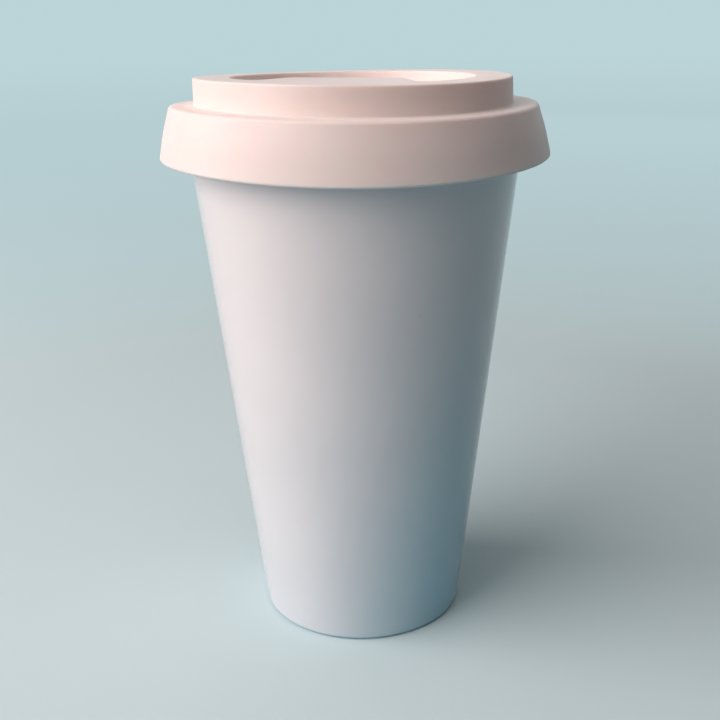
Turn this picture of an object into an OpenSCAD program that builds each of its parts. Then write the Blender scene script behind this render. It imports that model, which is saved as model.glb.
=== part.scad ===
// Glazed ceramic takeaway tumbler with a press-on moulded silicone lid.
// Z = 0 is the table, the Z axis is the cup's own axis, and -Y is the side with the raised land.

/* [Cup] */
// Height of the rim above the table
cup_h = 140.2; // [125:0.2:155]
// Outside diameter of the wall's cone at table level
foot_d = 57.4; // [52:0.2:62]
// Outside diameter of the wall's cone at the rim
rim_d = 88.2; // [82:0.2:94]
// Thickness of the wall, measured level
wall = 3.6; // [2.8:0.1:4.8]
// Thickness of the floor
floor_t = 4.4; // [3:0.2:8]
// Radius of the corner between the inside wall and the floor
floor_round = 8; // [3:0.5:14]
// Width of the foot ring
foot_ring_w = 3.6; // [2.6:0.1:6]
// Depth of the hollow inside the foot ring
foot_hollow = 1.8; // [1:0.1:3]
// Rounding of the foot's outer edge
foot_round = 1.3; // [0.6:0.1:1.6]
// Rounding of the rim's two edges
rim_round = 1.3; // [0.6:0.1:1.35]

/* [Lid skirt] */
// Thickness of the silicone
lid_wall = 2.2; // [1.6:0.1:2.6]
// How far the shelf reaches out past the rim, before its edge is rounded
shelf_over = 3.1; // [2.8:0.1:6]
// How far the lip reaches out past the shelf, before its edge is rounded
lip_flare = 3.5; // [2:0.1:6]
// How far the lip hangs below the rim
skirt_drop = 11.3; // [9:0.1:14]
// How far the skirt swells out between the shelf and the lip
skirt_bulge = 0.3; // [0:0.05:0.8]
// Height of the thick band under the shelf that grips the rim
grip_h = 3; // [2:0.1:4]
// Height over which the grip band thins to the plain skirt
grip_taper = 2.6; // [2:0.1:3]
// How far the sealing ring reaches into the cup
seal_depth = 6.5; // [4:0.1:10]
// Gap between the lid and the cup's wall, inside and outside
fit_gap = 0.3; // [0.2:0.05:0.5]
// Rounding of the lip's two edges
lip_round = 0.6; // [0.3:0.1:1]
// Rounding of the shelf's edge and the sealing ring's end
soft_round = 1; // [0.5:0.1:1]

/* [Lid top] */
// Height of the raised ring above the shelf
plateau_h = 6.8; // [5:0.1:10]
// How far the raised ring's wall stands in from the rim's outside
plateau_set_in = 3.3; // [3:0.05:6]
// How much wider the raised ring's radius is at the shelf
plateau_draft = 0.2; // [0:0.05:0.6]
// Rounding at the foot of the raised ring, where it meets the shelf
plateau_foot_round = 0.4; // [0.2:0.1:1]
// Width of the raised ring's flat top, between its wall and the well
ring_w = 9.5; // [8:0.05:14]
// How much smaller the well's radius is at its floor
well_draft = 0.6; // [0:0.1:1.5]
// Depth of the well below the raised ring
well_depth = 6.6; // [5:0.1:6.8]
// Rounding of the raised ring's and the well's top edges
edge_round = 0.5; // [0.3:0.1:1.1]

/* [Raised land] */
// Distance from the lid's centre to the land's straight edge
land_edge_y = 8; // [5:0.5:14]
// Length of the land's straight edge, between its two corners
land_edge_w = 29; // [20:0.5:34]
// Angle by which each side of the land splays outwards
land_splay = 19; // [5:1:30]
// Rounding of the land's two corners, seen from above
land_round = 1.2; // [0.4:0.1:2]

/* [Holes] */
// Length of the sip slot, end to end
sip_len = 15; // [12:0.5:18]
// Width of the sip slot
sip_w = 5; // [4.5:0.1:6]
// Distance from the lid's centre to the sip slot
sip_y = 22.5; // [18:0.5:23]
// Diameter of the air hole
vent_d = 2.5; // [1.5:0.1:3.5]
// Distance from the lid's centre to the air hole
vent_y = 3; // [0:0.5:3]

/* [Hidden] */
$fn = 96;
// Straight steps in each rounded corner of a section
arc_steps = 6;
// How far a cutting shape runs past the face that it cuts
past = 1;
// Radius of the long curve that blends the skirt's two slopes
bulge_round = 30;

rim_r = rim_d / 2;
foot_r = foot_d / 2;
shelf_z = cup_h + lid_wall;
top_z = shelf_z + plateau_h;
well_floor_z = top_z - well_depth;
under_z = well_floor_z - lid_wall;
lip_z = cup_h - skirt_drop;
seal_z = cup_h - seal_depth;
grip_z = cup_h - grip_h;
shelf_r = rim_r + shelf_over;
lip_r = shelf_r + lip_flare;
plateau_r = rim_r - plateau_set_in;
well_r = plateau_r - ring_w;
well_floor_r = well_r - well_draft;

// Radius of the cup's outside and inside walls at height z
function outer_r(z) = foot_r + (rim_r - foot_r) * z / cup_h;
function inner_r(z) = outer_r(z) - wall;

// Radius of the skirt's straight line from the shelf's edge to the lip at height z
function skirt_r(z) = shelf_r + lip_flare * (shelf_z - z) / (shelf_z - lip_z);

function unit(v) = v / norm(v);
function point(corner) = [corner[0], corner[1]];

// Points of the arc that rounds corner b, between its neighbours a and c, with radius r
function corner_arc(a, b, c, r) =
    let (
        u = unit(a - b),
        v = unit(c - b),
        half = acos(u * v) / 2,
        centre = b + unit(u + v) * r / sin(half),
        first = b + u * r / tan(half) - centre,
        last = b + v * r / tan(half) - centre,
        sweep = sign(cross(first, last)) * (180 - 2 * half)
    )
    [for (i = [0:arc_steps])
        let (turn = sweep * i / arc_steps)
        centre + [
            first[0] * cos(turn) - first[1] * sin(turn),
            first[0] * sin(turn) + first[1] * cos(turn)
        ]
    ];

// Outline through a list of corners, each [x, y] or [x, y, rounding radius]
function rounded(corners) =
    let (n = len(corners))
    [for (i = [0:n - 1])
        let (here = corners[i], before = corners[(i + n - 1) % n], after = corners[(i + 1) % n])
        each (
            len(here) > 2
                ? corner_arc(point(before), point(here), point(after), here[2])
                : [point(here)]
        )
    ];

// The cup in half section: foot ring, outside wall, rim, inside wall and floor
module cup() {
    floor_z = foot_hollow + floor_t;
    color([0.93, 0.94, 0.94])
    rotate_extrude()
    polygon(rounded([
        [0, foot_hollow],
        [foot_r - foot_ring_w - foot_hollow / 2, foot_hollow, foot_hollow / 3],
        [foot_r - foot_ring_w, 0, foot_hollow / 3],
        [foot_r, 0, foot_round],
        [rim_r, cup_h, rim_round],
        [rim_r - wall, cup_h, rim_round],
        [inner_r(floor_z), floor_z, floor_round],
        [0, floor_z]
    ]));
}

// The lid in half section, without its land and holes
module lid_section() {
    skirt_mid_z = (shelf_z + lip_z) / 2;
    grip_end_z = grip_z - grip_taper;
    polygon(rounded([
        [0, under_z],
        [well_floor_r + lid_wall, under_z, soft_round],
        [well_r + lid_wall, top_z - lid_wall, edge_round],
        [plateau_r - lid_wall, top_z - lid_wall, edge_round],
        [inner_r(seal_z) - fit_gap - lid_wall, seal_z, soft_round],
        [inner_r(seal_z) - fit_gap, seal_z, soft_round],
        [inner_r(cup_h) - fit_gap, cup_h, soft_round / 2],
        [outer_r(cup_h) + fit_gap, cup_h, soft_round / 2],
        [outer_r(grip_z) + fit_gap, grip_z, soft_round],
        [skirt_r(grip_end_z) - lid_wall, grip_end_z, soft_round],
        [lip_r - lid_wall, lip_z, lip_round],
        [lip_r, lip_z, lip_round],
        [skirt_r(skirt_mid_z) + skirt_bulge, skirt_mid_z, bulge_round],
        [shelf_r, shelf_z, soft_round],
        [plateau_r + plateau_draft, shelf_z, plateau_foot_round],
        [plateau_r, top_z, edge_round],
        [well_r, top_z, edge_round],
        [well_floor_r, well_floor_z, soft_round],
        [0, well_floor_z]
    ]));
}

// Plan of the land, kept back by inset from its straight edge and its two sides
module land_plan(inset) {
    reach = plateau_r;
    side_x = land_edge_w / 2 - inset * (1 - sin(land_splay)) / cos(land_splay);
    edge_y = -land_edge_y - inset;
    end_x = side_x + (reach + edge_y) * tan(land_splay);
    polygon(rounded([
        [-side_x, edge_y, land_round],
        [-end_x, -reach],
        [end_x, -reach],
        [side_x, edge_y, land_round]
    ]));
}

// The land fills the front of the well, level with the top of the raised ring
module land() {
    translate([0, 0, under_z])
    linear_extrude(top_z - under_z)
    intersection() {
        land_plan(0);
        circle(r = well_r + edge_round + past);
    }
}

// The land is hollow below, like the raised ring that it runs into
module land_hollow() {
    translate([0, 0, under_z - past])
    linear_extrude(top_z - lid_wall - under_z + past)
    intersection() {
        land_plan(lid_wall);
        circle(r = well_r + lid_wall + past);
    }
}

module sip_slot() {
    half_run = (sip_len - sip_w) / 2;
    translate([0, sip_y, under_z - past])
    linear_extrude(lid_wall + 2 * past) {
        square([2 * half_run, sip_w], center = true);
        for (side = [-1, 1]) {
            translate([side * half_run, 0])
            circle(d = sip_w);
        }
    }
}

module vent_hole() {
    translate([0, -vent_y, under_z - past])
    cylinder(h = lid_wall + 2 * past, d = vent_d);
}

// The lid is one silicone moulding: skirt, grip band, sealing ring, raised ring, well and land
module lid() {
    color([0.93, 0.86, 0.83])
    difference() {
        union() {
            rotate_extrude()
            lid_section();
            land();
        }
        land_hollow();
        sip_slot();
        vent_hole();
    }
}

cup();
lid();
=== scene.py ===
"""A glazed ceramic takeaway cup with a silicone lid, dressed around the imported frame.

Everything is in metres, in the frame's own axes. Z is up along the cup, and -Y is the side of the lid with the land.
"""

import logging
import math
from collections.abc import Callable
from dataclasses import dataclass
from enum import Enum

import bmesh
import bpy
from mathutils import Matrix, Vector


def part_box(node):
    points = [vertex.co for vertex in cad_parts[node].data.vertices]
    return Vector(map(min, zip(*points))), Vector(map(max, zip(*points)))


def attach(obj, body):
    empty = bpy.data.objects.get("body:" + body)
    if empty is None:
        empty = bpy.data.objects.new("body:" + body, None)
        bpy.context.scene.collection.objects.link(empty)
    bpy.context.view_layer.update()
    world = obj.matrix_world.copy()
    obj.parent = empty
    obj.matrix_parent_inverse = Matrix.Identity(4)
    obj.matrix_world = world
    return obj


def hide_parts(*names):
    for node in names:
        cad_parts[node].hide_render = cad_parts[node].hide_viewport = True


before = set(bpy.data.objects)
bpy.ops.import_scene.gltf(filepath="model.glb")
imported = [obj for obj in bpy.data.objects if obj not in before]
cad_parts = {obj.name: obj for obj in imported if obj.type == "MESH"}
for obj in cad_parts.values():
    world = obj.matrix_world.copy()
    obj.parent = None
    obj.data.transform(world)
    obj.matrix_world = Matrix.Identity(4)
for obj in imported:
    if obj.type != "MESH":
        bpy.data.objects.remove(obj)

MM = 0.001
ROUND_STEPS = 192
SEAT_STEPS = 360
MERGE_DISTANCE = 0.001 * MM
VIEW_TURN_DEG = 10.0

log = logging.getLogger("takeaway_cup")


class Profile(Enum):
    """The two ways in which a rounded edge turns."""

    OVER = "from level down into a wall"
    INTO = "from a wall down into level"


@dataclass(frozen=True)
class Corner:
    """One corner of a turned section: its radius from the axis, its height and its rounding."""

    radius: float
    height: float
    rounding: float = 0.0

    @property
    def place(self) -> Vector:
        """The corner's place in the XZ plane."""
        return Vector((self.radius, 0.0, self.height))


class Bench:
    """The hand work that every piece shares: selecting, rounding, cutting and finishing."""

    @staticmethod
    def clear() -> None:
        """Leave edit mode and deselect every object."""
        if bpy.context.object and bpy.context.object.mode != "OBJECT":
            bpy.ops.object.mode_set(mode="OBJECT")
        bpy.ops.object.select_all(action="DESELECT")

    @staticmethod
    def take(piece: bpy.types.Object) -> None:
        """Select one object alone and make it the active one.

        Args:
            piece: The object to work on.
        """
        Bench.clear()
        piece.select_set(True)
        bpy.context.view_layer.objects.active = piece

    @staticmethod
    def pick(kind: str, wanted: Callable[[object], bool]) -> int:
        """Select the parts of the mesh in edit mode that pass a test.

        Args:
            kind: "verts", "edges" or "faces".
            wanted: The test, given one bmesh vertex, edge or face.

        Returns:
            How many parts were selected.
        """
        modes = {"verts": "VERT", "edges": "EDGE", "faces": "FACE"}
        bpy.ops.mesh.select_mode(type=modes[kind])
        bpy.ops.mesh.select_all(action="DESELECT")
        mesh = bpy.context.object.data
        shape = bmesh.from_edit_mesh(mesh)
        found = [part for part in getattr(shape, kind) if wanted(part)]
        for part in found:
            part.select_set(True)
        shape.select_flush_mode()
        bmesh.update_edit_mesh(mesh)
        return len(found)

    @staticmethod
    def settle(piece: bpy.types.Object) -> None:
        """Bake the object's place, turn and scale into its mesh.

        Args:
            piece: The object to settle.
        """
        Bench.take(piece)
        bpy.ops.object.transform_apply(location=True, rotation=True, scale=True)

    @staticmethod
    def draw(name: str, places: list[Vector]) -> bpy.types.Object:
        """Draw a line through a row of places, and stay in edit mode with all of it selected.

        Args:
            name: Name of the new object.
            places: The line's points, in order.

        Returns:
            The drawn line.
        """
        Bench.clear()
        bpy.ops.mesh.primitive_plane_add(size=MM, location=places[0])
        piece = bpy.context.object
        piece.name = name
        Bench.settle(piece)
        bpy.ops.object.mode_set(mode="EDIT")
        bpy.ops.mesh.select_all(action="SELECT")
        bpy.ops.mesh.merge(type="CENTER")
        for here, after in zip(places, places[1:]):
            bpy.ops.mesh.extrude_vertices_move(TRANSFORM_OT_translate={"value": after - here})
        bpy.ops.mesh.select_all(action="SELECT")
        return piece

    @staticmethod
    def face_up() -> None:
        """Turn the selected face so that it looks up."""
        shape = bmesh.from_edit_mesh(bpy.context.object.data)
        if any(face.select and face.normal.z < 0 for face in shape.faces):
            bpy.ops.mesh.flip_normals()

    @staticmethod
    def sink(steps: list[tuple[float, float]]) -> None:
        """Press the selected level face down step by step, and leave the lowest face open.

        Args:
            steps: For each step, how far the outline moves in and how far it moves down.
        """
        for inward, down in steps:
            if inward > 0:
                bpy.ops.mesh.inset(thickness=inward, depth=-down, use_even_offset=True)
            else:
                bpy.ops.mesh.extrude_region_move(TRANSFORM_OT_translate={"value": (0, 0, -down)})
        bpy.ops.mesh.delete(type="ONLY_FACE")

    @staticmethod
    def join(name: str, parts: list[bpy.types.Object]) -> bpy.types.Object:
        """Join several meshes into the first of them.

        Args:
            name: Name of the joined piece.
            parts: The meshes.

        Returns:
            The joined piece.
        """
        Bench.take(parts[0])
        for part in parts:
            part.select_set(True)
        bpy.ops.object.join()
        parts[0].name = name
        return parts[0]

    @staticmethod
    def close_level(height: float) -> None:
        """Fill the open edges of the mesh in edit mode that lie at one height, and keep holes open.

        Args:
            height: The level's height.
        """
        Bench.pick(
            "edges",
            lambda edge: edge.is_boundary and all(abs(v.co.z - height) < MERGE_DISTANCE for v in edge.verts),
        )
        bpy.ops.mesh.fill(use_beauty=True)

    @staticmethod
    def smooth(piece: bpy.types.Object, crease_deg: float) -> None:
        """Shade a piece smooth, with creases only where its faces meet at a wide angle.

        Args:
            piece: The piece to shade.
            crease_deg: Angle between two faces above which their edge stays sharp.
        """
        Bench.take(piece)
        bpy.ops.object.shade_smooth_by_angle(angle=math.radians(crease_deg), keep_sharp_edges=False)
        bpy.ops.object.modifier_add(type="WEIGHTED_NORMAL")
        weigh = piece.modifiers[-1]
        weigh.keep_sharp = True
        bpy.ops.object.modifier_apply(modifier=weigh.name)


@dataclass
class Lathe:
    """Turns a half section round the Z axis into a closed shell.

    Args:
        name: Name of the piece.
        corners: The section's corners, in order, from the axis round to the axis again.
        steps_per_corner: Straight steps in each rounded corner.
    """

    name: str
    corners: list[Corner]
    steps_per_corner: int = 6

    def turn(self) -> bpy.types.Object:
        """Draw the section, round its corners and spin it.

        Returns:
            The turned piece.
        """
        piece = Bench.draw(self.name, [corner.place for corner in self.corners])
        self._round_corners()
        bpy.ops.mesh.select_all(action="SELECT")
        bpy.ops.mesh.spin(
            steps=ROUND_STEPS, angle=2 * math.pi, use_auto_merge=True, center=(0, 0, 0), axis=(0, 0, 1)
        )
        bpy.ops.mesh.select_all(action="SELECT")
        bpy.ops.mesh.remove_doubles(threshold=MERGE_DISTANCE)
        bpy.ops.mesh.normals_make_consistent(inside=False)
        bpy.ops.object.mode_set(mode="OBJECT")
        return piece

    def _round_corners(self) -> None:
        """Round each corner of the drawn section that asks for it."""
        for before, here, after in zip(self.corners, self.corners[1:], self.corners[2:]):
            if here.rounding <= 0:
                continue
            between = (before.place - here.place).angle(after.place - here.place)
            Bench.pick("verts", lambda vert: (vert.co - here.place).length < MERGE_DISTANCE)
            bpy.ops.mesh.bevel(
                offset_type="OFFSET",
                offset=here.rounding / math.tan(between / 2),
                segments=self.steps_per_corner,
                profile=0.5,
                affect="VERTICES",
                clamp_overlap=False,
            )


@dataclass(frozen=True)
class Rounding:
    """A rounded edge, as the inward and downward steps that press it into a level face."""

    radius: float
    profile: Profile
    steps: int = 5

    def moves(self) -> list[tuple[float, float]]:
        """The steps of the quarter round.

        Returns:
            For each step, how far the outline moves in and how far it moves down.
        """
        turns = [math.pi / 2 * step / self.steps for step in range(self.steps + 1)]
        level = [self.radius * math.sin(turn) for turn in turns]
        steep = [self.radius * (1 - math.cos(turn)) for turn in turns]
        inward, down = (level, steep) if self.profile is Profile.OVER else (steep, level)
        return [(inward[i + 1] - inward[i], down[i + 1] - down[i]) for i in range(self.steps)]


@dataclass(frozen=True)
class WellPlan:
    """The well seen from above: a circle, less the land that fills its front."""

    radius: float
    edge_y: float
    half_edge: float
    splay: float
    land_rounding: float
    tip_rounding: float
    land_steps: int = 6
    tip_steps: int = 10

    def grown(self, by: float, land_rounding: float) -> "WellPlan":
        """The same plan, grown outwards all round.

        Args:
            by: How far its outline moves out.
            land_rounding: Rounding of the land's corners in the new plan.

        Returns:
            The grown plan.
        """
        return WellPlan(
            radius=self.radius + by,
            edge_y=self.edge_y + by,
            half_edge=self.half_edge - by * (1 - math.sin(self.splay)) / math.cos(self.splay),
            splay=self.splay,
            land_rounding=land_rounding,
            tip_rounding=self.tip_rounding + by,
        )

    def _arc(self, centre: Vector, radius: float, first: float, last: float, steps: int) -> list[Vector]:
        """Places along an arc.

        Args:
            centre: The arc's centre.
            radius: Its radius.
            first: Angle of its first place.
            last: Angle of its last place.
            steps: Straight steps in it.

        Returns:
            The places, both ends among them.
        """
        turns = [first + (last - first) * step / steps for step in range(steps + 1)]
        return [centre + radius * Vector((math.cos(turn), math.sin(turn))) for turn in turns]

    def outline(self, height: float) -> list[Vector]:
        """The outline at a height, from the land's corner on the right round to the one on the left.

        Args:
            height: Height of the outline.

        Returns:
            Its places. The last one joins the first by the land's straight edge.
        """
        away = Vector((math.cos(self.splay), math.sin(self.splay)))
        along = Vector((math.sin(self.splay), -math.cos(self.splay)))
        corner = Vector((self.half_edge, -self.edge_y))
        inset = self.land_rounding * (1 - math.sin(self.splay)) / math.cos(self.splay)
        land_centre = corner + Vector((-inset, -self.land_rounding))
        start = corner + away * self.tip_rounding
        reach = self.radius - self.tip_rounding
        ahead = start.dot(along)
        run = -ahead + math.sqrt(ahead**2 - start.length_squared + reach**2)
        tip_centre = start + along * run
        tip_turn = math.atan2(tip_centre.y, tip_centre.x)
        back = math.pi / 2
        rim_steps = round(ROUND_STEPS * (back - tip_turn) / (2 * math.pi))
        right = [
            *self._arc(land_centre, self.land_rounding, back, self.splay, self.land_steps),
            *self._arc(tip_centre, self.tip_rounding, self.splay - math.pi, tip_turn, self.tip_steps),
            *self._arc(Vector((0, 0)), self.radius, tip_turn, back, rim_steps)[1:],
        ]
        left = [Vector((-place.x, place.y)) for place in reversed(right[:-1])]
        return [Vector((place.x, place.y, height)) for place in right + left]


class ShaderSheet:
    """The node tree of one material, with short calls to add and join its nodes."""

    def __init__(self, name: str) -> None:
        """Start an empty material.

        Args:
            name: The material's name.
        """
        self.material = bpy.data.materials.new(name)
        self.material.use_nodes = True
        self.tree = self.material.node_tree
        self.tree.nodes.clear()

    @classmethod
    def over(cls, tree: bpy.types.NodeTree) -> "ShaderSheet":
        """Start an empty sheet over a tree that is already there, such as a world's.

        Args:
            tree: The node tree, emptied first.

        Returns:
            The sheet.
        """
        sheet = cls.__new__(cls)
        sheet.material = None
        sheet.tree = tree
        tree.nodes.clear()
        return sheet

    def seen(self) -> bpy.types.NodeSocket:
        """Whether a ray shows the surface, straight or in a gloss, rather than takes light from it.

        Returns:
            1 for camera, glossy and transmission rays, and 0 for the others.
        """
        path = self.add("LightPath").outputs
        mirrored = self.maths("MAXIMUM", path["Is Glossy Ray"], path["Is Transmission Ray"])
        return self.maths("MAXIMUM", path["Is Camera Ray"], mirrored)

    def add(self, kind: str, **sockets: object) -> bpy.types.Node:
        """Add a node and set its inputs.

        Args:
            kind: The node's type name, without "ShaderNode".
            **sockets: Values or output sockets by input name, with spaces as underscores.

        Returns:
            The new node.
        """
        node = self.tree.nodes.new("ShaderNode" + kind)
        for name, value in sockets.items():
            self.put(node.inputs[name.replace("_", " ")], value)
        return node

    def put(self, socket: bpy.types.NodeSocket, value: object) -> None:
        """Join an output to an input, or set the input's value.

        Args:
            socket: The input.
            value: An output socket, a number or a colour.
        """
        if isinstance(value, bpy.types.NodeSocket):
            self.tree.links.new(value, socket)
        else:
            socket.default_value = value

    def noise(self, place: bpy.types.NodeSocket, size: float, detail: float = 2.0) -> bpy.types.NodeSocket:
        """Add a noise whose lumps have a real size.

        Args:
            place: The coordinates that it follows.
            size: Size of one lump, in metres.
            detail: How many finer layers it has.

        Returns:
            The noise's value, about 0.5 on average.
        """
        return self.add("TexNoise", Vector=place, Scale=1 / size, Detail=detail).outputs[0]

    def ramp(
        self, value: bpy.types.NodeSocket, low: float, high: float, to_low: float = 0.0, to_high: float = 1.0
    ) -> bpy.types.NodeSocket:
        """Map a range of values to another, and hold it at both ends.

        Args:
            value: The value to map.
            low: Value that becomes to_low.
            high: Value that becomes to_high.
            to_low: Result at the low end.
            to_high: Result at the high end.

        Returns:
            The mapped value.
        """
        node = self.add("MapRange", Value=value)
        node.clamp = True
        for name, number in (("From Min", low), ("From Max", high), ("To Min", to_low), ("To Max", to_high)):
            node.inputs[name].default_value = number
        return node.outputs[0]

    def mix(self, share: object, first: object, second: object) -> bpy.types.NodeSocket:
        """Mix two colours.

        Args:
            share: Share of the second colour.
            first: The colour at share 0.
            second: The colour at share 1.

        Returns:
            The mixed colour.
        """
        node = self.tree.nodes.new("ShaderNodeMix")
        node.data_type = "RGBA"
        self.put(node.inputs[0], share)
        self.put(node.inputs[6], first)
        self.put(node.inputs[7], second)
        return node.outputs[2]

    def maths(self, what: str, first: object, second: object) -> bpy.types.NodeSocket:
        """Do one sum with two values.

        Args:
            what: The operation, such as "MULTIPLY".
            first: The first value.
            second: The second value.

        Returns:
            The result.
        """
        node = self.tree.nodes.new("ShaderNodeMath")
        node.operation = what
        self.put(node.inputs[0], first)
        self.put(node.inputs[1], second)
        return node.outputs[0]

    def bump(
        self, height: bpy.types.NodeSocket, depth: float, before: bpy.types.NodeSocket | None = None
    ) -> bpy.types.NodeSocket:
        """Raise the surface by a height of 0 to 1.

        Args:
            height: The height's value.
            depth: Real depth of a height of 1, in metres.
            before: The bump that this one adds to.

        Returns:
            The changed normal.
        """
        node = self.add("Bump", Height=height, Distance=depth)
        if before is not None:
            self.put(node.inputs["Normal"], before)
        return node.outputs[0]

    def finish(self, shader: bpy.types.NodeSocket) -> bpy.types.Material:
        """Join the shader to the material's output.

        Args:
            shader: The finished shader.

        Returns:
            The material.
        """
        self.add("OutputMaterial", Surface=shader)
        return self.material


Colour = tuple[float, float, float, float]


@dataclass(frozen=True)
class GlazedCeramic:
    """White gloss glaze over pale clay, bare under the foot ring."""

    glaze: Colour = (0.81, 0.77, 0.765, 1.0)
    pooled_glaze: Colour = (0.775, 0.745, 0.745, 1.0)
    bare_clay: Colour = (0.70, 0.66, 0.60, 1.0)
    speck: Colour = (0.42, 0.36, 0.30, 1.0)
    cloud_size: float = 28 * MM
    speck_spacing: float = 7 * MM
    smear_size: float = 16 * MM
    gloss_roughness: tuple[float, float] = (0.055, 0.11)
    clay_roughness: float = 0.6
    glaze_line: float = 0.25 * MM
    wave_size: float = 9 * MM
    wave_depth: float = 0.012 * MM
    grain_size: float = 0.35 * MM
    grain_depth: float = 0.02 * MM

    def material(self) -> bpy.types.Material:
        """Build the material.

        Returns:
            The glazed ceramic material.
        """
        sheet = ShaderSheet("glazed_ceramic")
        place = sheet.add("TexCoord").outputs["Object"]
        height = sheet.add("SeparateXYZ", Vector=place).outputs["Z"]
        bare = sheet.ramp(height, self.glaze_line, self.glaze_line * 2, 1.0, 0.0)
        cloud = sheet.ramp(sheet.noise(place, self.cloud_size, 3.0), 0.35, 0.7)
        glaze = sheet.mix(cloud, self.glaze, self.pooled_glaze)
        dots = sheet.add("TexVoronoi", Vector=place, Scale=1 / self.speck_spacing)
        dot = sheet.ramp(dots.outputs["Distance"], 0.012, 0.022, 1.0, 0.0)
        rare = sheet.ramp(sheet.add("SeparateColor", Color=dots.outputs["Color"]).outputs[0], 0.86, 0.88)
        speckled = sheet.mix(sheet.maths("MULTIPLY", dot, rare), glaze, self.speck)
        colour = sheet.mix(bare, speckled, self.bare_clay)
        smear = sheet.ramp(sheet.noise(place, self.smear_size, 4.0), 0.4, 0.75, *self.gloss_roughness)
        rough = sheet.maths("ADD", smear, sheet.maths("MULTIPLY", bare, self.clay_roughness))
        wave = sheet.bump(sheet.noise(place, self.wave_size, 1.0), self.wave_depth)
        grain = sheet.maths("MULTIPLY", bare, sheet.noise(place, self.grain_size, 3.0))
        normal = sheet.bump(grain, self.grain_depth, wave)
        body = sheet.add("BsdfPrincipled", Base_Color=colour, Roughness=rough, Normal=normal, IOR=1.52)
        return sheet.finish(body.outputs[0])


@dataclass(frozen=True)
class MouldedSilicone:
    """Matte, slightly translucent moulded silicone in a warm off-white."""

    body: Colour = (0.84, 0.745, 0.712, 1.0)
    deep: Colour = (0.82, 0.715, 0.682, 1.0)
    dust: Colour = (0.50, 0.45, 0.42, 1.0)
    cloud_size: float = 22 * MM
    dust_spacing: float = 5 * MM
    handling_size: float = 11 * MM
    matte_roughness: tuple[float, float] = (0.50, 0.62)
    scatter_share: float = 0.5
    scatter_reach: tuple[float, float, float] = (1.0, 0.55, 0.4)
    scatter_scale: float = 3.0 * MM
    sheen_share: float = 0.12
    sheen_roughness: float = 0.5
    grain_size: float = 0.22 * MM
    grain_depth: float = 0.008 * MM
    swell_size: float = 14 * MM
    swell_depth: float = 0.05 * MM

    def material(self) -> bpy.types.Material:
        """Build the material.

        Returns:
            The silicone material.
        """
        sheet = ShaderSheet("silicone")
        place = sheet.add("TexCoord").outputs["Object"]
        cloud = sheet.ramp(sheet.noise(place, self.cloud_size, 3.0), 0.35, 0.7)
        tone = sheet.mix(cloud, self.body, self.deep)
        dots = sheet.add("TexVoronoi", Vector=place, Scale=1 / self.dust_spacing)
        dot = sheet.ramp(dots.outputs["Distance"], 0.025, 0.05, 1.0, 0.0)
        rare = sheet.ramp(sheet.add("SeparateColor", Color=dots.outputs["Color"]).outputs[0], 0.90, 0.92)
        colour = sheet.mix(sheet.maths("MULTIPLY", dot, rare), tone, self.dust)
        handled = sheet.ramp(sheet.noise(place, self.handling_size, 4.0), 0.35, 0.75, *self.matte_roughness)
        swell = sheet.bump(sheet.noise(place, self.swell_size, 1.0), self.swell_depth)
        normal = sheet.bump(sheet.noise(place, self.grain_size, 2.0), self.grain_depth, swell)
        body = sheet.add("BsdfPrincipled", Base_Color=colour, Roughness=handled, Normal=normal, IOR=1.41)
        body.inputs["Subsurface Weight"].default_value = self.scatter_share
        body.inputs["Subsurface Radius"].default_value = self.scatter_reach
        body.inputs["Subsurface Scale"].default_value = self.scatter_scale
        body.inputs["Sheen Weight"].default_value = self.sheen_share
        body.inputs["Sheen Roughness"].default_value = self.sheen_roughness
        return sheet.finish(body.outputs[0])


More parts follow.
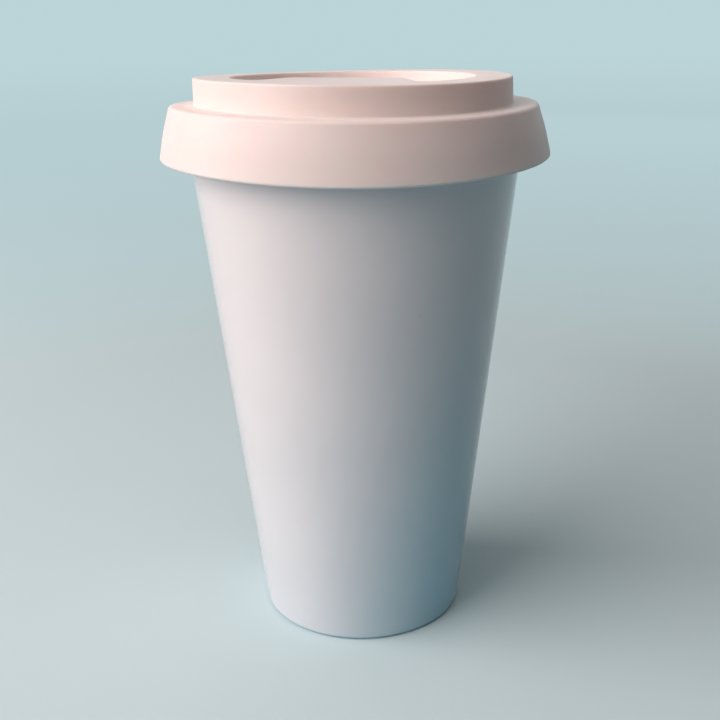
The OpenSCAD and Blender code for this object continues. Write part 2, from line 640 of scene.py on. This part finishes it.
@dataclass(frozen=True)
class StudioPaper:
    """Pale matte paper for the floor, which fades into the backdrop's plain colour far from the cup.

    The camera and the gloss see the pale paper. The light that the floor throws on the cup is cool
    blue from close by, as the real cup's coloured sheet throws it, and warm grey from beyond that sheet.
    """

    paper: Colour = (0.60, 0.76, 0.79, 1.0)
    fibre: Colour = (0.58, 0.74, 0.77, 1.0)
    fibre_size: float = 40 * MM
    roughness: float = 0.9
    near_bounce: Colour = (0.04, 0.38, 0.53, 1.0)
    far_bounce: Colour = (0.34, 0.30, 0.29, 1.0)
    bounce_start: float = 0.16
    bounce_end: float = 0.45
    backdrop: Colour = (0.50, 0.66, 0.69, 1.0)
    fade_start: float = 0.25
    fade_end: float = 4.0

    def material(self) -> bpy.types.Material:
        """Build the material.

        Returns:
            The paper material.
        """
        sheet = ShaderSheet("studio_paper")
        place = sheet.add("TexCoord").outputs["Object"]
        colour = sheet.mix(sheet.noise(place, self.fibre_size, 4.0), self.paper, self.fibre)
        seen = sheet.seen()
        away = sheet.add("VectorMath", Vector=place)
        away.operation = "LENGTH"
        nearness = sheet.maths("DIVIDE", 1.0, away.outputs["Value"])
        close = sheet.ramp(nearness, 1 / self.bounce_end, 1 / self.bounce_start)
        cast = sheet.mix(close, self.far_bounce, self.near_bounce)
        shown = sheet.mix(seen, cast, colour)
        body = sheet.add("BsdfPrincipled", Base_Color=shown, Roughness=self.roughness)
        plain = sheet.add("Emission", Color=self.backdrop, Strength=1.0)
        far = sheet.ramp(nearness, 1 / self.fade_end, 1 / self.fade_start, 1.0, 0.0)
        share = sheet.maths("MULTIPLY", far, seen)
        blend = sheet.add("MixShader", Fac=share)
        sheet.tree.links.new(body.outputs[0], blend.inputs[1])
        sheet.tree.links.new(plain.outputs[0], blend.inputs[2])
        return sheet.finish(blend.outputs[0])

    def world(self, colour: Colour, strength: float) -> bpy.types.World:
        """Build a world that lights dimly and looks like the backdrop.

        Args:
            colour: Colour of its light.
            strength: Strength of its light.

        Returns:
            The world.
        """
        world = bpy.data.worlds.new("studio_world")
        world.use_nodes = True
        sheet = ShaderSheet.over(world.node_tree)
        light = sheet.add("Background", Color=colour, Strength=strength)
        shown = sheet.add("Background", Color=self.backdrop, Strength=1.0)
        blend = sheet.add("MixShader", Fac=sheet.seen())
        sheet.tree.links.new(light.outputs[0], blend.inputs[1])
        sheet.tree.links.new(shown.outputs[0], blend.inputs[2])
        sheet.add("OutputWorld", Surface=blend.outputs[0])
        return world


@dataclass
class Cup:
    """The tapered ceramic tumbler: one solid wall, with a floor, a foot ring and a rounded rim."""

    height: float
    foot_radius: float = 28.7 * MM
    rim_radius: float = 44.1 * MM
    wall: float = 3.6 * MM
    floor: float = 4.4 * MM
    floor_rounding: float = 8 * MM
    foot_ring: float = 3.6 * MM
    foot_hollow: float = 1.8 * MM
    foot_rounding: float = 1.3 * MM
    rim_rounding: float = 1.3 * MM

    def outside(self, height: float) -> float:
        """Radius of the outside wall at a height."""
        return self.foot_radius + (self.rim_radius - self.foot_radius) * height / self.height

    def inside(self, height: float) -> float:
        """Radius of the inside wall at a height."""
        return self.outside(height) - self.wall

    def section(self) -> list[Corner]:
        """The cup's half section, from the middle of the foot up to the middle of the floor.

        Returns:
            The section's corners.
        """
        floor_top = self.foot_hollow + self.floor
        ring_inside = self.foot_radius - self.foot_ring
        soft = self.foot_hollow / 3
        return [
            Corner(0.0, self.foot_hollow),
            Corner(ring_inside - self.foot_hollow / 2, self.foot_hollow, soft),
            Corner(ring_inside, 0.0, soft),
            Corner(self.foot_radius, 0.0, self.foot_rounding),
            Corner(self.rim_radius, self.height, self.rim_rounding),
            Corner(self.rim_radius - self.wall, self.height, self.rim_rounding),
            Corner(self.inside(floor_top), floor_top, self.floor_rounding),
            Corner(0.0, floor_top),
        ]

    def build(self, finish: GlazedCeramic) -> bpy.types.Object:
        """Turn the cup and dress it.

        Args:
            finish: The glaze.

        Returns:
            The cup.
        """
        piece = Lathe("ceramic_cup", self.section(), steps_per_corner=8).turn()
        Bench.smooth(piece, crease_deg=40)
        piece.data.materials.append(finish.material())
        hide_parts("cup")
        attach(piece, "cup")
        return piece


@dataclass(frozen=True)
class Warp:
    """How one level of the soft lid lies out of true, as the camera sees it.

    Args:
        lean_across: Rise for each metre to the camera's right.
        lean_along: Rise for each metre away from the camera.
        bend: Rise of the left and the right at the bend radius, and fall of the near and the far side.
        twist: The same rise and fall along the two diagonals.
        shift: How far the level stands to the camera's right.
    """

    lean_across: float
    lean_along: float
    bend: float
    twist: float
    shift: float

    def rise(self, across: float, along: float, bend_radius: float) -> float:
        """How far a place of this level stands up.

        Args:
            across: The place's distance to the camera's right of the axis.
            along: Its distance beyond the axis.
            bend_radius: Distance from the axis at which bend and twist are given.

        Returns:
            The rise, before the lid is lifted on to the rim.
        """
        saddle = self.bend * (across**2 - along**2) + self.twist * 2 * across * along
        return self.lean_across * across + self.lean_along * along + saddle / bend_radius**2


@dataclass(frozen=True)
class Seat:
    """How the soft lid rests on the rim: a little askew, its lip more bent than its stiff top."""

    lip: Warp = Warp(-0.001, 0.00086, 0.561 * MM, 0.236 * MM, -0.05 * MM)
    top: Warp = Warp(-0.0066, -0.0085, 0.20 * MM, 0.30 * MM, -0.35 * MM)
    view_turn_deg: float = VIEW_TURN_DEG
    bend_radius: float = 45 * MM

    def _move(self, place: Vector, share: float) -> Vector:
        """How a place moves when the lid takes its seat, before it is lifted on to the rim.

        Args:
            place: A place in the lid, seated level.
            share: How near its level is to the top: 0 at the lip and 1 at the top.

        Returns:
            The move.
        """
        turn = math.radians(self.view_turn_deg)
        across = place.x * math.cos(turn) + place.y * math.sin(turn)
        along = place.y * math.cos(turn) - place.x * math.sin(turn)
        lip_rise = self.lip.rise(across, along, self.bend_radius)
        top_rise = self.top.rise(across, along, self.bend_radius)
        shift = (1 - share) * self.lip.shift + share * self.top.shift
        rise = (1 - share) * lip_rise + share * top_rise
        return Vector((shift * math.cos(turn), shift * math.sin(turn), rise))

    def apply(self, piece: bpy.types.Object, levels: tuple[float, float], rim: Corner) -> None:
        """Bend the finished lid on to the rim, so that its lowest place there just rests.

        Args:
            piece: The lid, seated level.
            levels: Heights of its lip and its top.
            rim: The rim's radius and height.
        """
        lip, top = levels
        rim_share = (rim.height - lip) / (top - lip)
        turns = [2 * math.pi * step / SEAT_STEPS for step in range(SEAT_STEPS)]
        circle = [rim.radius * Vector((math.cos(turn), math.sin(turn), 0)) for turn in turns]
        lift = Vector((0, 0, -min(self._move(place, rim_share).z for place in circle)))
        for vert in piece.data.vertices:
            vert.co += lift + self._move(vert.co, (vert.co.z - lip) / (top - lip))


@dataclass
class Lid:
    """The moulded silicone lid: skirt, grip band, sealing ring, raised ring, well and land."""

    cup: Cup
    top: float
    seat: Seat = Seat()
    wall: float = 2.2 * MM
    shelf_over: float = 3.1 * MM
    lip_flare: float = 3.5 * MM
    skirt_drop: float = 11.3 * MM
    skirt_bulge: float = 0.3 * MM
    bulge_rounding: float = 30 * MM
    grip_height: float = 3 * MM
    grip_taper: float = 2.6 * MM
    seal_depth: float = 6.5 * MM
    gap: float = 0.3 * MM
    soft_rounding: float = 1 * MM
    edge_rounding: float = 0.5 * MM
    lip_rounding: float = 0.6 * MM
    ring_set_in: float = 3.3 * MM
    ring_draft: float = 0.2 * MM
    ring_foot_rounding: float = 0.4 * MM
    ring_width: float = 9.5 * MM
    well_draft: float = 0.6 * MM
    well_depth: float = 6.6 * MM
    land_edge_y: float = 8 * MM
    land_edge_width: float = 29 * MM
    land_splay_deg: float = 19
    land_rounding: float = 1.5 * MM
    tip_rounding: float = 2.3 * MM
    slot_length: float = 15 * MM
    slot_width: float = 5 * MM
    slot_y: float = 22.5 * MM
    vent_diameter: float = 2.5 * MM
    vent_y: float = 3 * MM
    hole_rounding: float = 0.4 * MM
    hole_sides: int = 64
    hole_round_steps: int = 4
    level_band: float = 0.3 * MM

    @property
    def ring_radius(self) -> float:
        """Radius of the raised ring's wall at its top."""
        return self.cup.rim_radius - self.ring_set_in

    @property
    def well_floor(self) -> float:
        """Height of the well's floor."""
        return self.top - self.well_depth

    @property
    def underside(self) -> float:
        """Height of the underside below the well."""
        return self.well_floor - self.wall

    @property
    def roof(self) -> float:
        """Height of the hollow's roof under the raised ring and the land."""
        return self.top - self.wall

    @property
    def plan(self) -> WellPlan:
        """Plan of the well at its top edge."""
        return WellPlan(
            radius=self.ring_radius - self.ring_width,
            edge_y=self.land_edge_y,
            half_edge=self.land_edge_width / 2,
            splay=math.radians(self.land_splay_deg),
            land_rounding=self.land_rounding,
            tip_rounding=self.tip_rounding,
        )

    def section(self) -> list[Corner]:
        """The lid's half section from the hollow's roof, round the skirt, to the raised ring's top.

        Returns:
            The section's corners. Both ends are open, for the roof and the top to be filled in.
        """
        rim = self.cup.height
        shelf = rim + self.wall
        lip = rim - self.skirt_drop
        seal = rim - self.seal_depth
        grip = rim - self.grip_height
        grip_end = grip - self.grip_taper
        middle = (shelf + lip) / 2
        shelf_radius = self.cup.rim_radius + self.shelf_over
        lip_radius = shelf_radius + self.lip_flare
        margin = self.edge_rounding + self.level_band

        def skirt(height: float) -> float:
            """Radius of the skirt's straight line at a height."""
            return shelf_radius + self.lip_flare * (shelf - height) / (shelf - lip)

        seal_radius = self.cup.inside(seal) - self.gap
        soft = self.soft_rounding
        edge = self.edge_rounding
        return [
            Corner(self.ring_radius - self.wall - margin, self.roof),
            Corner(self.ring_radius - self.wall, self.roof, edge),
            Corner(seal_radius - self.wall, seal, soft),
            Corner(seal_radius, seal, soft),
            Corner(self.cup.inside(rim) - self.gap, rim, soft / 2),
            Corner(self.cup.outside(rim) + self.gap, rim, soft / 2),
            Corner(self.cup.outside(grip) + self.gap, grip, soft),
            Corner(skirt(grip_end) - self.wall, grip_end, soft),
            Corner(lip_radius - self.wall, lip, self.lip_rounding),
            Corner(lip_radius, lip, self.lip_rounding),
            Corner(skirt(middle) + self.skirt_bulge, middle, self.bulge_rounding),
            Corner(shelf_radius, shelf, soft),
            Corner(self.ring_radius + self.ring_draft, shelf, self.ring_foot_rounding),
            Corner(self.ring_radius, self.top, edge),
            Corner(self.ring_radius - margin, self.top),
        ]

    def _pressing(self, name: str, plan: WellPlan, height: float) -> bpy.types.Object:
        """Press a plan down from a level, with a rounded top edge, a drafted wall and a rounded foot.

        Args:
            name: Name of the new mesh.
            plan: The plan at the top edge.
            height: Height of the level that it is pressed from.

        Returns:
            The pressing, open above and below.
        """
        margin = self.edge_rounding + self.level_band
        straight = self.well_depth - self.edge_rounding - self.soft_rounding
        pressing = Bench.draw(name, plan.grown(margin, self.land_rounding - margin).outline(height))
        bpy.ops.mesh.edge_face_add()
        bpy.ops.mesh.normals_make_consistent(inside=False)
        Bench.face_up()
        Bench.sink(
            [
                (self.level_band, 0.0),
                *Rounding(self.edge_rounding, Profile.OVER).moves(),
                (self.well_draft, straight),
                *Rounding(self.soft_rounding, Profile.INTO).moves(),
                (self.level_band, 0.0),
            ]
        )
        return pressing

    def _hole(self, name: str, half_width: float, half_run: float, place_y: float) -> bpy.types.Object:
        """Press a hole through the well's floor, with a softened upper edge.

        Args:
            name: Name of the new mesh.
            half_width: Half the hole's width.
            half_run: Half the distance between the centres of its round ends.
            place_y: Where its middle is.

        Returns:
            The hole's wall, open above and below.
        """
        margin = self.hole_rounding + self.level_band
        Bench.clear()
        bpy.ops.mesh.primitive_circle_add(
            vertices=self.hole_sides,
            radius=half_width + margin,
            fill_type="NGON",
            location=(0, place_y, self.well_floor),
            rotation=(0, 0, math.pi / self.hole_sides),
        )
        hole = bpy.context.object
        hole.name = name
        Bench.settle(hole)
        bpy.ops.object.mode_set(mode="EDIT")
        for side in (-1, 1):
            Bench.pick("verts", lambda vert: vert.co.x * side > 0)
            bpy.ops.transform.translate(value=(side * half_run, 0, 0))
        bpy.ops.mesh.select_all(action="SELECT")
        Bench.face_up()
        Bench.sink(
            [
                (self.level_band, 0.0),
                *Rounding(self.hole_rounding, Profile.OVER, self.hole_round_steps).moves(),
                (0.0, self.wall - self.hole_rounding),
            ]
        )
        return hole

    def build(self, finish: MouldedSilicone) -> bpy.types.Object:
        """Turn the shell, press the well, its underside and the holes, close the levels and dress it.

        Args:
            finish: The silicone.

        Returns:
            The lid.
        """
        parts = [
            Lathe("lid_shell", self.section(), steps_per_corner=6).turn(),
            self._pressing("lid_well", self.plan, self.top),
            self._pressing("lid_underside", self.plan.grown(self.wall, self.land_rounding), self.roof),
            self._hole(
                "sip_slot", self.slot_width / 2, (self.slot_length - self.slot_width) / 2, self.slot_y
            ),
            self._hole("air_hole", self.vent_diameter / 2, 0.0, -self.vent_y),
        ]
        piece = Bench.join("silicone_lid", parts)
        Bench.take(piece)
        bpy.ops.object.mode_set(mode="EDIT")
        for height in (self.top, self.roof, self.well_floor, self.underside):
            Bench.close_level(height)
        bpy.ops.mesh.select_all(action="SELECT")
        bpy.ops.mesh.remove_doubles(threshold=MERGE_DISTANCE)
        bpy.ops.mesh.normals_make_consistent(inside=False)
        log.info("open or doubled edges in the lid: %d", Bench.pick("edges", lambda edge: not edge.is_manifold))
        bpy.ops.object.mode_set(mode="OBJECT")
        lip = self.cup.height - self.skirt_drop
        self.seat.apply(piece, (lip, self.top), Corner(self.cup.rim_radius, self.cup.height))
        Bench.smooth(piece, crease_deg=35)
        piece.data.materials.append(finish.material())
        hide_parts("lid")
        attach(piece, "lid")
        return piece


@dataclass
class Lamp:
    """One soft rectangular lamp that looks at the middle of the cup.

    Args:
        name: The lamp's name.
        azimuth_deg: Its direction seen from above, from the lid's front towards the right.
        elevation_deg: Its height over the table's level, as an angle.
        distance: How far it hangs from the middle of the cup.
        width: Its width.
        height: Its height.
        watts: Its power.
        colour: Its colour.
    """

    name: str
    azimuth_deg: float
    elevation_deg: float
    distance: float
    width: float
    height: float
    watts: float
    colour: tuple[float, float, float]

    def build(self, target: Vector) -> bpy.types.Object:
        """Hang the lamp.

        Args:
            target: The point that it looks at.

        Returns:
            The lamp.
        """
        azimuth = math.radians(self.azimuth_deg)
        elevation = math.radians(self.elevation_deg)
        way = Vector(
            (
                math.sin(azimuth) * math.cos(elevation),
                -math.cos(azimuth) * math.cos(elevation),
                math.sin(elevation),
            )
        )
        Bench.clear()
        bpy.ops.object.light_add(type="AREA", location=target + way * self.distance)
        lamp = bpy.context.object
        lamp.name = self.name
        lamp.rotation_euler = (-way).to_track_quat("-Z", "Y").to_euler()
        lamp.data.shape = "RECTANGLE"
        lamp.data.size = self.width
        lamp.data.size_y = self.height
        lamp.data.energy = self.watts
        lamp.data.color = self.colour
        return lamp


@dataclass
class PhotoView:
    """The camera at the photograph's place: a phone held a little above the lid, looking down."""

    distance: float = 266.74 * MM
    height: float = 163.89 * MM
    turn_deg: float = VIEW_TURN_DEG
    swing_deg: float = 0.06
    pitch_deg: float = 18.90
    roll_deg: float = -0.99
    focal_pixels: float = 999.6
    image_pixels: float = 720.0
    sensor: float = 36.0

    def build(self) -> bpy.types.Object:
        """Place the camera and make it the scene's.

        Returns:
            The camera.
        """
        place_turn = math.radians(self.turn_deg)
        turn = math.radians(self.turn_deg - self.swing_deg)
        pitch = math.radians(self.pitch_deg)
        roll = math.radians(self.roll_deg)
        stand = Vector(
            (math.sin(place_turn) * self.distance, -math.cos(place_turn) * self.distance, self.height)
        )
        ahead = Vector(
            (-math.sin(turn) * math.cos(pitch), math.cos(turn) * math.cos(pitch), -math.sin(pitch))
        )
        level = Vector((math.cos(turn), math.sin(turn), 0.0))
        upward = level.cross(ahead)
        right = math.cos(roll) * level + math.sin(roll) * upward
        top = math.cos(roll) * upward - math.sin(roll) * level
        Bench.clear()
        bpy.ops.object.camera_add()
        camera = bpy.context.object
        camera.name = "photo_camera"
        camera.matrix_world = Matrix.Translation(stand) @ Matrix((right, top, -ahead)).transposed().to_4x4()
        camera.data.sensor_width = self.sensor
        camera.data.lens = self.focal_pixels / self.image_pixels * self.sensor
        camera.data.clip_start = 0.01
        camera.data.clip_end = 20.0
        bpy.context.scene.camera = camera
        return camera


@dataclass
class Studio:
    """A pale paper floor, a broad soft window on the left, three faint cards and a dim, even world."""

    target_height: float
    floor_half: float = 6.0
    paper: StudioPaper = StudioPaper()
    world_colour: Colour = (0.98, 0.92, 0.90, 1.0)
    world_strength: float = 0.10

    def floor(self) -> bpy.types.Object:
        """Lay the paper floor.

        Returns:
            The floor.
        """
        Bench.clear()
        bpy.ops.mesh.primitive_plane_add(size=2 * self.floor_half, location=(0, 0, 0))
        floor = bpy.context.object
        floor.name = "paper_floor"
        Bench.settle(floor)
        floor.data.materials.append(self.paper.material())
        return floor

    def lamps(self) -> list[bpy.types.Object]:
        """Hang the lamps: a broad window on the left and faint cards overhead, on the right and behind.

        Returns:
            The lamps.
        """
        target = Vector((0, 0, self.target_height))
        left = Lamp("left_window", -59.0, 27.0, 1.3, 1.6, 1.0, 23.7, (1.0, 0.87, 0.845))
        over = Lamp("ceiling_card", -44.0, 74.0, 1.3, 1.2, 1.2, 4.6, (1.0, 0.87, 0.85))
        right = Lamp("right_card", 71.0, 45.0, 1.5, 1.0, 1.0, 0.6, (1.0, 0.90, 0.86))
        back = Lamp("back_card", 164.0, 18.0, 1.5, 1.4, 0.8, 2.6, (0.97, 0.97, 1.0))
        return [lamp.build(target) for lamp in (left, over, right, back)]

    def build(self) -> None:
        """Lay the floor, hang the lamps, light the world and set the view transform."""
        self.floor()
        self.lamps()
        bpy.context.scene.world = self.paper.world(self.world_colour, self.world_strength)
        bpy.context.scene.view_settings.view_transform = "Standard"


def main() -> None:
    """Build the studio, the cup and the lid, in that order."""
    logging.basicConfig(level=logging.INFO, format="%(name)s: %(message)s")
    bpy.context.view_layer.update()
    cup_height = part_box("cup")[1][2]
    lid_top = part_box("lid")[1][2]
    PhotoView().build()
    Studio(target_height=lid_top / 2).build()
    cup = Cup(height=cup_height)
    for piece in (cup.build(GlazedCeramic()), Lid(cup=cup, top=lid_top).build(MouldedSilicone())):
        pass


if __name__ == "__main__":
    main()
